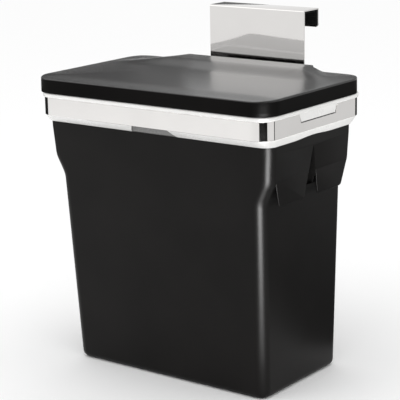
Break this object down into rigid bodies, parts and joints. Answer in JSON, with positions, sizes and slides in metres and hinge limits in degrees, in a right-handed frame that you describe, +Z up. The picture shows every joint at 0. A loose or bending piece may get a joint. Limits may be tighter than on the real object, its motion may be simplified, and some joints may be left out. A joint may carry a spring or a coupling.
{
  "type": "over-door waste bin",
  "caption": "Lidded waste bin that hangs over a cabinet door: black bucket in a steel-banded frame with a folded steel hook and a hinged lid.",
  "frame": {"origin": "centre of the overall box, on the plane of the bucket's underside", "axes": "+Z up, front faces -Y, the cabinet door is on the +Y side, +X to the right seen from the front"},
  "size_m": [0.3, 0.229, 0.375],
  "materials": {
    "body_black": "satin moulded plastic",
    "frame_black": "fine textured plastic",
    "lid_black": "satin moulded plastic",
    "ring_white": "semi-gloss moulded plastic",
    "polished_steel": "mirror-polished stainless steel",
    "pin_steel": "drawn steel",
    "fastener_steel": "zinc plated",
    "nut_brass": "turned",
    "pad_rubber": "soft ribbed rubber",
    "rubber_black": "soft rubber",
    "bush_nylon": "plain nylon"
  },
  "bodies": {
    "frame": {"bucket_body": "body_black", "bucket_collar": "body_black", "bucket_flaps": "body_black", "support_ring": "ring_white", "steel_band": "polished_steel", "liner_rim": "ring_white", "hinge_bridge": "frame_black", "hinge_pin": "pin_steel", "pin_clips": "pin_steel", "bridge_screws": "fastener_steel", "hook_bracket": "polished_steel", "bracket_screws": "fastener_steel", "bracket_nuts": "nut_brass", "hook_lip_pad": "pad_rubber", "hook_saddle_pad": "pad_rubber", "plate_pads": "pad_rubber", "lower_bumpers": "rubber_black"},
    "lid": {"lid_shell": "lid_black", "lid_inner_panel": "frame_black", "lid_screws": "fastener_steel", "lid_bumpers": "rubber_black", "hinge_bushes": "bush_nylon"}
  },
  "joints": [
    {"name": "lid_hinge", "type": "hinge", "parent": "frame", "child": "lid", "pos_m": [0, 0.0665, 0.308], "axis": [-1, 0, 0], "range_deg": [0, 90]}
  ]
}
